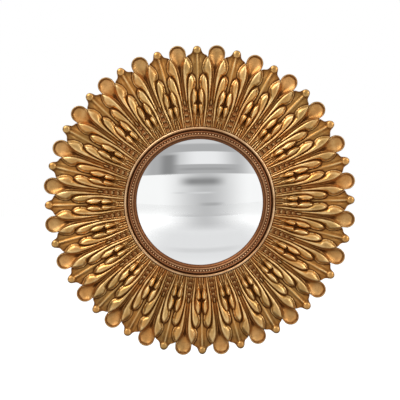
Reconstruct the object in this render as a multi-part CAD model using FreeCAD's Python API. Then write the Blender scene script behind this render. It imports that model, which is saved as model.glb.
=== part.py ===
"""Round convex butler's mirror in a gilt crown of spoon petals and husked leaves.

The mirror hangs flat on a wall. The frame of the model is:
    origin  the middle of the wall plane, on the mirror's axis
    +Y      into the wall, so that everything in front of the wall has a negative Y
    +Z      up, +X to the right of someone who faces the mirror

A depth called h is measured from the wall plane towards the viewer, so y = -h.
The carved unit is drawn pointing up (+Z) and is then turned round the Y axis. In it,
t is the distance to the side of the leaf's midrib and r the distance from the axis.
All sizes are in millimetres and all angles in degrees.
"""

import FreeCAD
import Part
import math
import os
from FreeCAD import Vector

# ---------------------------------------------------------------- driving dimensions

# wall pads, which make room for the hangers
BUMPER_H = 8.0
BUMPER_SIDE = 20.0
BUMPER_X = 135.0  # to both sides
BUMPER_Z = 234.0  # above and below the middle

# back ring and the board in its bore
BACK_RING_WALL = 9.0
BACK_RING_OUTER_R = 290.0
BOARD_MARGIN = 5.0  # of the board outside the glass
BOARD_WALL = 4.0
BOARD_PLAY = 0.5

# glass
GLASS_WALL = 3.0
GLASS_BULGE = 22.0  # of the front, from the edge to the middle
GLASS_PLAY = 0.5  # round the glass, in the crown's bore

# foam blocks between board and glass
FOAM_BLOCKS = 6
FOAM_LENGTH = 36.0
FOAM_WIDTH = 9.0

# sight ring, a moulding that frames the glass
SIGHT_OUTER_R = 182.0
SIGHT_WIDTH = 29.5  # from its outside to the glass in view
SIGHT_LAP = 6.0  # of its lip over the edge of the glass
SIGHT_LIP_WALL = 2.0
SIGHT_PLAY = 0.6
BEAD_WIDTH = 7.0  # the smooth outer bead
BEAD_WALL = 8.0
BEAD_SIDE = 5.5
GROOVE_WIDTH = 4.0
GROOVE_WALL = 5.0
BAND_WIDTH = 9.0  # the carved band between groove and glass
BAND_WALL = 10.0

# crown casting
UNITS = 24  # leaves, and as many spoons between them
GROUND_WALL = 14.0  # from the flat back to the ground between the petals
VALLEY_R = 346.0  # where leaf and spoon part company
UNDERCUT_WIDTH = 16.0
UNDERCUT_DEPTH = 7.0  # of the petals' undersides, above the flat back

# spoon petal
SPOON_TIP_R = 375.0  # the mirror's overall radius
HEAD_R = 20.0
HEAD_STEP = 40.0  # between two corners of the head's outline
SHOULDER_R = 329.5
SHOULDER_HALF = 9.5
NECK_R = 299.0
NECK_HALF = 3.1
SPOON_ROOT_R = 244.0
TIP_LIFT = 8.5  # of the spoon's face above the ground
NECK_LIFT = 4.0
SCOOP_FLOOR = 0.55  # of the scoop's width

# scoop of the spoon: r, half width and depth below the spoon's face
SCOOP = [(278.0, 1.2, 0.8), (330.0, 5.5, 3.5), (353.0, 15.5, 6.5), (370.0, 6.0, 2.5)]

# leaf: r, half width, lift of the edge above the ground, further lift of the midrib
LEAF_LIFT = 5.0
LEAF = [
    (SIGHT_OUTER_R + SIGHT_PLAY, 18.3, LEAF_LIFT, 0.0),
    (300.0, 34.6, LEAF_LIFT, 0.0),
    (VALLEY_R, 23.0, LEAF_LIFT, 0.0),
    (356.0, 12.0, LEAF_LIFT, 2.0),
    (364.5, 9.6, LEAF_LIFT, 5.5),
    (371.5, 3.2, LEAF_LIFT, 1.0),
]

# husks that lie in pairs on the leaf: t and r of the root; t, r, half width and lift of the peak; tip
INNER_HUSK_GAP = 14.0  # from the sight ring to the roots of the innermost pair
HUSKS = [
    ((32.5, 272.0), (24.0, 320.0, 12.0, 13.0), (25.0, 350.0)),
    ((23.0, 236.0), (15.0, 283.0, 10.5, 14.5), (13.0, 308.0)),
    ((10.0, 232.0), (9.8, 255.0, 8.2, 15.0), (9.0, 275.0)),
    ((5.0, SIGHT_OUTER_R + INNER_HUSK_GAP), (7.6, 225.0, 6.6, 13.0), (7.2, 239.0)),
]
HUSK_ROOTING = 1.0  # of the flanks' lower edges, in the leaf, and of the husks' walls, in the ground

# turn buttons that hold the board
BUTTONS = 4
BUTTON_SETBACK = 12.5  # of the pivot, from the board's edge
BUTTON_REACH = 20.0  # from the pivot to the tip over the board
BUTTON_TAIL = 7.0
BUTTON_HALF = 6.0
BUTTON_CORNER = 3.5
BUTTON_WALL = 1.5
BUTTON_GAP = 0.1  # to the back ring and the board
SCREW_HOLE_R = 1.6  # in turn buttons and straps

# strap hangers with their rings
HANGER_X = 165.0  # to both sides
HANGER_Z = 172.0  # height of the ring's bar
STRAP_LENGTH = 40.0
STRAP_WIDTH = 14.0
STRAP_WALL = 1.0
STRAP_SCREW_DROP = 30.0  # below the bar
WIRE_R = 1.3
WIRE_PLAY = 0.1  # in the strap's loop
RING_R = 10.0  # of the hoop, at the middle of its wire
RING_BENDS = 8
RING_STANDOFF = 0.4  # between the hanging ring and the strap

# ------------------------------------------------------------------ worked-out sizes

PITCH = 360.0 / UNITS
REAR_H = BUMPER_H  # rear face of ring and board
BOARD_H = REAR_H + BOARD_WALL
BACK_H = REAR_H + BACK_RING_WALL  # flat back of the casting
GROUND_H = BACK_H + GROUND_WALL
SIGHT_LIP_R = SIGHT_OUTER_R - SIGHT_WIDTH
GLASS_R = SIGHT_LIP_R + SIGHT_LAP
BOARD_R = GLASS_R + BOARD_MARGIN
BUTTON_AT_R = BOARD_R + BUTTON_SETBACK
CROWN_BORE_R = GLASS_R + GLASS_PLAY
STRAP_H = REAR_H - STRAP_WALL
BAR_H = STRAP_H - RING_STANDOFF - WIRE_R
LOOP_BORE_R = WIRE_R + WIRE_PLAY
GLASS_FRONT_R = (GLASS_R**2 + GLASS_BULGE**2) / (2.0 * GLASS_BULGE)
GLASS_CENTRE_H = GROUND_H - math.sqrt(GLASS_FRONT_R**2 - SIGHT_LIP_R**2)
GLASS_REAR_R = GLASS_FRONT_R - GLASS_WALL
CLEAR = 80.0  # more than any piece is deep


# --------------------------------------------------------------------------- helpers


def at(t, r, h):
    """The point t to the side, r above the axis and h in front of the wall."""
    return Vector(t, -h, r)


def polygon(points):
    return Part.makePolygon(points + [points[0]])


def turned(shape, degrees):
    """A copy turned round the mirror's axis, clockwise for the viewer."""
    copy = shape.copy()
    copy.rotate(Vector(0, 0, 0), Vector(0, 1, 0), degrees)
    return copy


def mirrored(shape):
    return shape.mirror(Vector(0, 0, 0), Vector(1, 0, 0))


def revolved(profile):
    """A ring from its outline of (r, h) points."""
    outline = polygon([at(0, r, h) for r, h in profile])
    return Part.Face(outline).revolve(Vector(0, 0, 0), Vector(0, 1, 0), 360)


def plate(outline, low, high):
    """A flat plate from an outline of (t, r) points, between two depths."""
    face = Part.Face(polygon([at(t, r, low) for t, r in outline]))
    return face.extrude(Vector(0, low - high, 0))


def rod(t, r, radius, low, high):
    return Part.makeCylinder(radius, high - low, at(t, r, low), Vector(0, -1, 0))


def distinct(points):
    """The points without those that repeat the one before."""
    return [point for i, point in enumerate(points) if (point - points[i - 1]).Length > 1e-6]


def faceted(sections):
    """A solid with flat facets between matching corners of one section and the next.

    A section whose corners fall together closes the solid in a point or an edge.
    """
    rings = [distinct(section) for section in (sections[0], sections[-1])]
    for low, high in zip(sections, sections[1:]):
        for i, corner in enumerate(low):
            j = (i + 1) % len(low)
            rings.append(distinct([corner, low[j], high[j], high[i]]))
    faces = []
    for ring in rings:
        if len(ring) == 4:
            normal = (ring[1] - ring[0]).cross(ring[3] - ring[0]).normalize()
            if abs(normal.dot(ring[2] - ring[0])) > 1e-7:
                faces.append(Part.Face(polygon(ring[:3])))
                ring = [ring[0]] + ring[2:]
        if len(ring) > 2:
            faces.append(Part.Face(polygon(ring)))
    return Part.makeSolid(Part.makeShell(faces))


def polar(count, offset=0.0):
    """Angles of a pattern of count round the axis."""
    return [offset + k * 360.0 / count for k in range(count)]


# ------------------------------------------------------------------------- the crown


def spoon_face(r):
    """Depth of the spoon's sloping face at r."""
    slope = (TIP_LIFT - NECK_LIFT) / (SPOON_TIP_R - NECK_R)
    return GROUND_H + NECK_LIFT + slope * (r - NECK_R)


def spoon():
    """A petal with a round dished head on a narrow neck."""
    centre_r = SPOON_TIP_R - HEAD_R
    right = [(NECK_HALF, SPOON_ROOT_R), (NECK_HALF, NECK_R), (SHOULDER_HALF, SHOULDER_R)]
    for k in range(int(120.0 / HEAD_STEP), 0, -1):
        angle = math.radians(k * HEAD_STEP)
        right.append((HEAD_R * math.sin(angle), centre_r + HEAD_R * math.cos(angle)))
    outline = right + [(0.0, SPOON_TIP_R)] + [(-t, r) for t, r in reversed(right)]
    back = [at(t, r, BACK_H) for t, r in outline]
    face = [at(t, r, spoon_face(r)) for t, r in outline]
    return faceted([back, face]).cut(scoop())


def scoop():
    """What is carved out of a spoon's face: a channel in the neck that opens into the bowl."""
    sections = []
    for r, half, depth in SCOOP:
        face = spoon_face(r)
        floor = SCOOP_FLOOR * half
        corners = [(-half, face), (-floor, face - depth), (floor, face - depth), (half, face)]
        corners += [(half, face + depth), (-half, face + depth)]
        sections.append([at(t, r, h) for t, h in corners])
    return faceted(sections)


def leaf():
    """The leaf's body, from the sight ring out to the bulb at its tip."""
    sections = []
    for r, half, lift, rise in LEAF:
        edge = GROUND_H + lift
        corners = [(-half, BACK_H), (-half, edge), (0, edge + rise), (half, edge), (half, BACK_H)]
        sections.append([at(t, r, h) for t, h in corners])
    return faceted(sections)


def husk(root, peak, tip):
    """One ridged husk on the right of the midrib: four flanks that meet at its peak, on upright walls."""
    floor = GROUND_H - HUSK_ROOTING
    foot = floor + LEAF_LIFT
    t, r, half, lift = peak
    middle = [at(t - half, r, floor), at(t - half, r, foot), at(t, r, GROUND_H + lift)]
    middle += [at(t + half, r, foot), at(t + half, r, floor)]
    ends = [[at(*place, floor)] + [at(*place, foot)] * 3 + [at(*place, floor)] for place in (root, tip)]
    return faceted([ends[0], middle, ends[1]])


def petals():
    """One leaf with its husks, and the spoon on its right."""
    husks = [husk(*places) for places in HUSKS]
    husks += [mirrored(one) for one in husks]
    return leaf().multiFuse(husks + [turned(spoon(), PITCH / 2)])


def undercut():
    """What is taken off the petals' backs, outside the back ring."""
    inner = BACK_RING_OUTER_R
    outer = SPOON_TIP_R + CLEAR
    floor = BACK_H + UNDERCUT_DEPTH
    slope = [(inner, BACK_H), (inner + UNDERCUT_WIDTH, floor)]
    return revolved(slope + [(outer, floor), (outer, 0), (inner, 0)])


def web():
    """The ground, whose straight edges show between the petals: a corner is under each petal."""
    corner_r = VALLEY_R / math.cos(math.radians(PITCH / 4))
    corners = []
    for angle in polar(2 * UNITS):
        side = math.radians(angle)
        corners.append((corner_r * math.sin(side), corner_r * math.cos(side)))
    return plate(corners, BACK_H, GROUND_H).cut(rod(0, 0, CROWN_BORE_R, 0, CLEAR))


def leaf_crown():
    """The whole casting, which sits flat on the back ring."""
    one = petals()
    crown = web().multiFuse([turned(one, angle) for angle in polar(UNITS)])
    return crown.removeSplitter().cut(undercut())


# --------------------------------------------------------------- sight ring and glass


def sight_ring():
    """The moulding in front of the glass: smooth bead outside, then a groove and a carved band."""
    bead_in = SIGHT_OUTER_R - BEAD_WIDTH
    band_out = bead_in - GROOVE_WIDTH
    profile = [
        (SIGHT_LIP_R, GROUND_H),
        (SIGHT_OUTER_R, GROUND_H),
        (SIGHT_OUTER_R, GROUND_H + BEAD_SIDE),
        (SIGHT_OUTER_R - BEAD_WIDTH / 2, GROUND_H + BEAD_WALL),
        (bead_in, GROUND_H + GROOVE_WALL),
        (band_out, GROUND_H + BAND_WALL),
        (band_out - BAND_WIDTH, GROUND_H + BAND_WALL),
        (SIGHT_LIP_R, GROUND_H + SIGHT_LIP_WALL),
    ]
    return revolved(profile)


def glass_rear(r):
    """Depth of the glass's rear face at r."""
    return GLASS_CENTRE_H + math.sqrt(GLASS_REAR_R**2 - r**2)


def convex_glass():
    """A dished sheet of even thickness, from two domes round one centre."""
    centre = at(0, 0, GLASS_CENTRE_H)
    shell = Part.makeSphere(GLASS_FRONT_R, centre).cut(Part.makeSphere(GLASS_REAR_R, centre))
    return shell.common(rod(0, 0, GLASS_R, BACK_H, GLASS_CENTRE_H + GLASS_FRONT_R + 1.0))


# ---------------------------------------------------------------- behind the glass


def foam_pads():
    """Blocks on the board whose slanted fronts meet the glass near its edge."""
    half = FOAM_LENGTH / 2
    outer = math.sqrt(GLASS_R**2 - half**2)
    inner = outer - FOAM_WIDTH
    front_outer = glass_rear(GLASS_R)
    front_inner = glass_rear(math.hypot(inner, half))
    side = [(outer, BOARD_H), (outer, front_outer), (inner, front_inner), (inner, BOARD_H)]
    face = Part.Face(polygon([at(-half, r, h) for r, h in side]))
    block = face.extrude(Vector(FOAM_LENGTH, 0, 0))
    return Part.makeCompound([turned(block, angle) for angle in polar(FOAM_BLOCKS)])


def backing_board():
    return rod(0, 0, BOARD_R, REAR_H, BOARD_H)


def back_ring():
    bore = BOARD_R + BOARD_PLAY
    return rod(0, 0, BACK_RING_OUTER_R, REAR_H, BACK_H).cut(rod(0, 0, bore, REAR_H, BACK_H))


# -------------------------------------------------------------------- turn buttons


def button_angles():
    """Halfway between the foam blocks."""
    return polar(BUTTONS, 180.0 / BUTTONS)


def turn_button():
    """A plate with clipped corners whose tip lies over the board's edge."""
    tip = BUTTON_AT_R - BUTTON_REACH
    tail = BUTTON_AT_R + BUTTON_TAIL
    clip = BUTTON_HALF - BUTTON_CORNER
    right = [(clip, tip), (BUTTON_HALF, tip + BUTTON_CORNER)]
    right += [(BUTTON_HALF, tail - BUTTON_CORNER), (clip, tail)]
    front = REAR_H - BUTTON_GAP
    body = plate(right + [(-t, r) for t, r in reversed(right)], front - BUTTON_WALL, front)
    return body.cut(rod(0, BUTTON_AT_R, SCREW_HOLE_R, 0, REAR_H))


# ------------------------------------------------------------------------- hangers


def hanger_strap():
    """The right-hand strap: a plate screwed to the back ring, with a loop round the ring's bar."""
    half = STRAP_WIDTH / 2
    low = HANGER_Z - STRAP_LENGTH
    left, right = HANGER_X - half, HANGER_X + half
    strap = plate([(left, low), (right, low), (right, HANGER_Z), (left, HANGER_Z)], STRAP_H, REAR_H)
    start = at(left, HANGER_Z, BAR_H)
    along = Vector(1, 0, 0)
    strap = strap.fuse(Part.makeCylinder(LOOP_BORE_R + STRAP_WALL, STRAP_WIDTH, start, along))
    loop_bore = Part.makeCylinder(LOOP_BORE_R, STRAP_WIDTH, start, along)
    screw_hole = rod(HANGER_X, HANGER_Z - STRAP_SCREW_DROP, SCREW_HOLE_R, 0, REAR_H)
    return strap.cut([loop_bore, screw_hole])


def d_ring():
    """The right-hand ring as it hangs down: a round bar closed by a bent hoop of square section."""
    reach = RING_R + WIRE_R
    outer, inner = [], []
    for k in range(RING_BENDS + 1):
        angle = math.pi * k / RING_BENDS
        for side, radius in ((outer, reach), (inner, RING_R - WIRE_R)):
            side.append((HANGER_X + radius * math.cos(angle), HANGER_Z - radius * math.sin(angle)))
    hoop = plate(outer + inner[::-1], BAR_H - WIRE_R, BAR_H + WIRE_R)
    bar = Part.makeCylinder(WIRE_R, 2 * reach, at(HANGER_X - reach, HANGER_Z, BAR_H), Vector(1, 0, 0))
    return hoop.fuse(bar)


def wall_bumpers():
    """Four square rubber pads, glued to the back ring."""
    half = BUMPER_SIDE / 2
    pads = []
    for x in (-BUMPER_X, BUMPER_X):
        for z in (-BUMPER_Z, BUMPER_Z):
            start = at(x - half, z - half, BUMPER_H)
            pads.append(Part.makeBox(BUMPER_SIDE, BUMPER_H, BUMPER_SIDE, start))
    return Part.makeCompound(pads)


# ------------------------------------------------------------------------ the model


def pieces():
    """Every piece of the mirror under its own name."""
    named = {
        "leaf_crown": leaf_crown(),
        "sight_ring": sight_ring(),
        "convex_glass": convex_glass(),
        "foam_pads": foam_pads(),
        "backing_board": backing_board(),
        "back_ring": back_ring(),
        "hanger_strap_right": hanger_strap(),
        "hanger_strap_left": mirrored(hanger_strap()),
        "d_ring_right": d_ring(),
        "d_ring_left": mirrored(d_ring()),
        "wall_bumpers": wall_bumpers(),
    }
    for number, angle in enumerate(button_angles(), start=1):
        named[f"turn_button_{number}"] = turned(turn_button(), angle)
    return named


def main():
    os.makedirs("parts", exist_ok=True)
    for name, shape in pieces().items():
        solids = shape.Solids
        assert all(solid.isValid() and solid.Volume > 0 for solid in solids), name
        whole = solids[0] if len(solids) == 1 else Part.makeCompound(solids)
        whole.exportStep(f"parts/{name}.step")
        print(f"{name}: {len(solids)} solid(s), {whole.Volume / 1000:.1f} cm3")


if __name__ == "__main__":
    main()
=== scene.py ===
"""Looks of a round convex mirror in a gilt crown of spoon petals and husked leaves.

Everything is in metres in the CAD frame: the origin is the middle of the wall plane, +Y goes into
the wall and +Z is up. A depth h is measured from the wall towards the viewer, so y = -h. The carving
is worked out in millimetres: r is the distance from the mirror's axis, t the distance to the side
of a leaf's midrib and q the distance to the side of a spoon's middle line.
"""

import logging
import math
from collections.abc import Iterable, Sequence
from dataclasses import dataclass, field
from enum import Enum, IntEnum

import bmesh
import bpy
import numpy as np
from mathutils import Matrix, Vector


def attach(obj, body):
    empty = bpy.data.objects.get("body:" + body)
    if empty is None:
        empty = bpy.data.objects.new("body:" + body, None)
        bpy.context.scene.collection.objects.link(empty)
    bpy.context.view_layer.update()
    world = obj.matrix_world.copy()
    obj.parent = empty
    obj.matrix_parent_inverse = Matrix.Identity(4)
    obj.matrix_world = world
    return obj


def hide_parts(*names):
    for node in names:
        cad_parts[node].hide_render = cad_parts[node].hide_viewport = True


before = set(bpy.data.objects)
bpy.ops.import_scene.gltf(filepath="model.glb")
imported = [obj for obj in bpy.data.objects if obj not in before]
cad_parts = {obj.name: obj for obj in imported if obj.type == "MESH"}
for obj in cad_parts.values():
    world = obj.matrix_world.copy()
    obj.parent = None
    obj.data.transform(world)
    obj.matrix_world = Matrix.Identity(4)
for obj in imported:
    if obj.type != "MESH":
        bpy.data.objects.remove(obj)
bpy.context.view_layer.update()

LOG = logging.getLogger("convex_mirror")
MM = 0.001
BODY = "mirror"
MERGE = 1e-6  # points nearer than this become one

Colour = tuple[float, float, float]
Place = tuple[float, float, float]
Knots = Sequence[tuple[float, float]]
Socket = bpy.types.NodeSocket


# ------------------------------------------------------------------------------ mesh tools


class Shading(Enum):
    """How a finished piece is shaded."""

    SOFT = 80.0
    CRISP = 35.0


def deselect_all() -> None:
    """Leaves nothing selected, so that an operator acts on the new primitive alone."""
    if bpy.context.mode != "OBJECT":
        bpy.ops.object.mode_set(mode="OBJECT")
    bpy.ops.object.select_all(action="DESELECT")


def make_active(piece: bpy.types.Object) -> None:
    """Selects one piece and makes it active.

    Args:
        piece: The piece that the next operators work on.
    """
    deselect_all()
    piece.select_set(True)
    bpy.context.view_layer.objects.active = piece


def named_primitive(name: str) -> bpy.types.Object:
    """Names the primitive that an operator has just added.

    Args:
        name: The piece's name.

    Returns:
        The new piece.
    """
    piece = bpy.context.active_object
    piece.name = name
    piece.data.name = name
    return piece


def settle(piece: bpy.types.Object, shading: Shading) -> bpy.types.Object:
    """Puts the piece's place into its mesh, turns its normals outwards and shades it.

    Args:
        piece: The piece to finish.
        shading: The angle above which its edges stay sharp.

    Returns:
        The same piece.
    """
    make_active(piece)
    bpy.ops.object.transform_apply(location=True, rotation=True, scale=True)
    bpy.ops.object.mode_set(mode="EDIT")
    bpy.ops.mesh.select_all(action="SELECT")
    bpy.ops.mesh.normals_make_consistent(inside=False)
    bpy.ops.object.mode_set(mode="OBJECT")
    bpy.ops.object.shade_smooth_by_angle(angle=math.radians(shading.value))
    return piece


def copy_of(piece: bpy.types.Object, name: str, place: Matrix) -> bpy.types.Object:
    """A copy with its own mesh, moved by a matrix that goes into the mesh.

    Args:
        piece: The piece to copy.
        name: The copy's name.
        place: What moves the copy's points from the original's.

    Returns:
        The copy, linked to the scene.
    """
    copy = piece.copy()
    copy.data = piece.data.copy()
    copy.name = name
    copy.data.name = name
    copy.data.transform(place)
    bpy.context.scene.collection.objects.link(copy)
    return copy


def joined(name: str, parts: Sequence[bpy.types.Object]) -> bpy.types.Object:
    """Joins several objects into one piece.

    Args:
        name: The piece's name.
        parts: The objects to join.

    Returns:
        The joined piece.
    """
    deselect_all()
    for part in parts:
        part.select_set(True)
    bpy.context.view_layer.objects.active = parts[0]
    bpy.ops.object.join()
    return named_primitive(name)


def bevelled(piece: bpy.types.Object, width: float, segments: int = 3) -> bpy.types.Object:
    """Rounds the piece's edges with an applied bevel.

    Args:
        piece: The piece to round.
        width: Width of the bevel in metres.
        segments: Number of strips in the rounding.

    Returns:
        The same piece.
    """
    make_active(piece)
    rounding = piece.modifiers.new("rounding", "BEVEL")
    rounding.width = width
    rounding.segments = segments
    rounding.limit_method = "ANGLE"
    bpy.ops.object.modifier_apply(modifier=rounding.name)
    return piece


def lathe(name: str, profile: Knots, steps: int) -> bpy.types.Object:
    """A ring spun round the mirror's axis from a closed outline.

    Args:
        name: The piece's name.
        profile: Outline of (r, h) points in millimetres, in order round the section.
        steps: Number of strips round the ring.

    Returns:
        The closed ring, with its normals outwards.
    """
    deselect_all()
    bpy.ops.mesh.primitive_circle_add(vertices=len(profile), radius=MM)
    ring = named_primitive(name)
    for vertex, (r, h) in zip(ring.data.vertices, profile):
        vertex.co = (r * MM, -h * MM, 0.0)
    bpy.ops.object.mode_set(mode="EDIT")
    bpy.ops.mesh.select_all(action="SELECT")
    bpy.ops.mesh.spin(steps=steps, angle=math.tau, center=(0, 0, 0), axis=(0, 1, 0))
    bpy.ops.mesh.select_all(action="SELECT")
    bpy.ops.mesh.remove_doubles(threshold=MERGE)
    bpy.ops.object.mode_set(mode="OBJECT")
    return ring


def turned(degrees: float) -> Matrix:
    """The turn round the mirror's axis, clockwise for the viewer."""
    return Matrix.Rotation(math.radians(degrees), 4, "Y")


def places(mesh: bpy.types.Mesh) -> np.ndarray:
    """The places of a mesh's points.

    Args:
        mesh: The mesh to read.

    Returns:
        One row of three numbers for each point.
    """
    found = np.empty(len(mesh.vertices) * 3, np.float32)
    mesh.vertices.foreach_get("co", found)
    return found.reshape(-1, 3)


def keep_masks(mesh: bpy.types.Mesh, masks: dict[str, np.ndarray]) -> None:
    """Stores numbers from 0 to 1 on a mesh's points, for its material to read.

    Args:
        mesh: The mesh.
        masks: The numbers by name, in the order of the points.
    """
    for label, values in masks.items():
        stored = mesh.attributes.new(label, "FLOAT", "POINT")
        stored.data.foreach_set("value", np.clip(values, 0.0, 1.0).astype(np.float32))


# ------------------------------------------------------------------------- node tools


class Tree:
    """A short way to write shader nodes into one node tree."""

    def __init__(self, tree: bpy.types.NodeTree) -> None:
        """Wraps a node tree."""
        self.tree = tree

    def node(self, kind: str, **settings: object) -> bpy.types.Node:
        """Adds a node.

        Args:
            kind: The node's type name after "ShaderNode".
            **settings: Properties to set on the node.

        Returns:
            The new node.
        """
        made = self.tree.nodes.new(f"ShaderNode{kind}")
        for key, value in settings.items():
            setattr(made, key, value)
        return made

    def link(self, source: Socket, target: Socket) -> None:
        """Joins an output to an input."""
        self.tree.links.new(source, target)

    def feed(self, node: bpy.types.Node, **inputs: object) -> bpy.types.Node:
        """Sets or links a node's inputs by name, with _ for a blank.

        Args:
            node: The node whose inputs are set.
            **inputs: A socket to link, or a plain value.

        Returns:
            The same node.
        """
        for key, value in inputs.items():
            target = node.inputs[key.replace("_", " ")]
            if isinstance(value, Socket):
                self.link(value, target)
            else:
                target.default_value = value
        return node

    def object_place(self) -> Socket:
        """The point on the piece in its own coordinates."""
        return self.node("TexCoord").outputs["Object"]

    def attribute(self, name: str) -> Socket:
        """A number stored on the mesh."""
        return self.node("Attribute", attribute_name=name).outputs["Fac"]

    def maths(self, operation: str, first: object, second: object) -> Socket:
        """What an operation makes of two numbers, kept between 0 and 1.

        Args:
            operation: Name of the Math node's operation.
            first: A socket or a number.
            second: A socket or a number.

        Returns:
            The result.
        """
        made = self.node("Math", operation=operation, use_clamp=True)
        for place, value in enumerate((first, second)):
            if isinstance(value, Socket):
                self.link(value, made.inputs[place])
            else:
                made.inputs[place].default_value = value
        return made.outputs[0]

    def times(self, first: object, second: object) -> Socket:
        """The product of two numbers."""
        return self.maths("MULTIPLY", first, second)

    def plus(self, first: object, second: object) -> Socket:
        """The total of two numbers."""
        return self.maths("ADD", first, second)

    def spread(self, share: Socket, start: float, end: float) -> Socket:
        """Maps a share from 0 to 1 to another range.

        Args:
            share: The number to map.
            start: What 0 becomes.
            end: What 1 becomes.

        Returns:
            The mapped number.
        """
        made = self.node("MapRange")
        self.feed(made, Value=share, From_Min=0.0, From_Max=1.0, To_Min=start, To_Max=end)
        return made.outputs[0]

    def blend(self, share: Socket, first: object, second: object) -> Socket:
        """Mixes two colours.

        Args:
            share: How much of the second shows.
            first: A colour or a colour socket.
            second: A colour or a colour socket.

        Returns:
            The mixed colour.
        """
        made = self.node("Mix", data_type="RGBA")
        self.link(share, made.inputs[0])
        for place, value in ((6, first), (7, second)):
            if isinstance(value, Socket):
                self.link(value, made.inputs[place])
            else:
                made.inputs[place].default_value = (*value, 1.0)
        return made.outputs[2]

    def group(self, group: bpy.types.NodeTree, **inputs: object) -> bpy.types.Node:
        """Places a shared effect in this tree with its own values."""
        made = self.node("Group", node_tree=group)
        return self.feed(made, **inputs)


def effect_group(name: str, inputs: Knots, outputs: Iterable[str]) -> tuple[Tree, dict, dict]:
    """Starts a shader node group.

    Args:
        name: The group's name.
        inputs: Names of its number inputs with their defaults.
        outputs: Names of its number outputs.

    Returns:
        The group's tree, its inputs by name and its output sockets by name.
    """
    group = bpy.data.node_groups.new(name, "ShaderNodeTree")
    for label, value in inputs:
        made = group.interface.new_socket(label, in_out="INPUT", socket_type="NodeSocketFloat")
        made.default_value = value
    for label in outputs:
        group.interface.new_socket(label, in_out="OUTPUT", socket_type="NodeSocketFloat")
    start = group.nodes.new("NodeGroupInput")
    end = group.nodes.new("NodeGroupOutput")
    given = {label: start.outputs[label] for label, _ in inputs}
    return Tree(group), given, {label: end.inputs[label] for label in outputs}


def mottle_group() -> bpy.types.NodeTree:
    """Soft patches on Object coordinates, with a contrast that can be set.

    Returns:
        The group, whose output Mask goes from 0 to 1.
    """
    tree, given, out = effect_group("mottle", [("Scale", 40.0), ("Low", 0.4), ("High", 0.6)], ["Mask"])
    noise = tree.feed(tree.node("TexNoise"), Vector=tree.object_place(), Scale=given["Scale"])
    noise.inputs["Detail"].default_value = 5.0
    level = tree.node("MapRange", interpolation_type="SMOOTHSTEP")
    tree.feed(level, Value=noise.outputs[0], From_Min=given["Low"], From_Max=given["High"])
    tree.link(level.outputs[0], out["Mask"])
    return tree.tree


def grain_group() -> bpy.types.NodeTree:
    """Fine grain stretched along X, for fibre, brushed metal and foam.

    Returns:
        The group, whose output Mask goes from 0 to 1.
    """
    tree, given, out = effect_group("grain", [("Scale", 400.0), ("Stretch", 1.0)], ["Mask"])
    along = tree.feed(tree.node("CombineXYZ"), X=given["Stretch"], Y=1.0, Z=1.0)
    place = tree.node("VectorMath", operation="MULTIPLY")
    tree.link(tree.object_place(), place.inputs[0])
    tree.link(along.outputs[0], place.inputs[1])
    noise = tree.feed(tree.node("TexNoise"), Vector=place.outputs[0], Scale=given["Scale"])
    noise.inputs["Detail"].default_value = 3.0
    tree.link(noise.outputs[0], out["Mask"])
    return tree.tree


MOTTLE = mottle_group()
GRAIN = grain_group()


def start_material(name: str) -> tuple[bpy.types.Material, Tree, bpy.types.Node]:
    """Starts a material.

    Args:
        name: The material's name.

    Returns:
        The material, its tree and its Principled BSDF.
    """
    material = bpy.data.materials.new(name)
    material.use_nodes = True
    return material, Tree(material.node_tree), material.node_tree.nodes["Principled BSDF"]


def dress(piece: bpy.types.Object, material: bpy.types.Material) -> None:
    """Gives a piece its one material."""
    piece.data.materials.clear()
    piece.data.materials.append(material)


# ---------------------------------------------------------------------------- finishes


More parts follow.
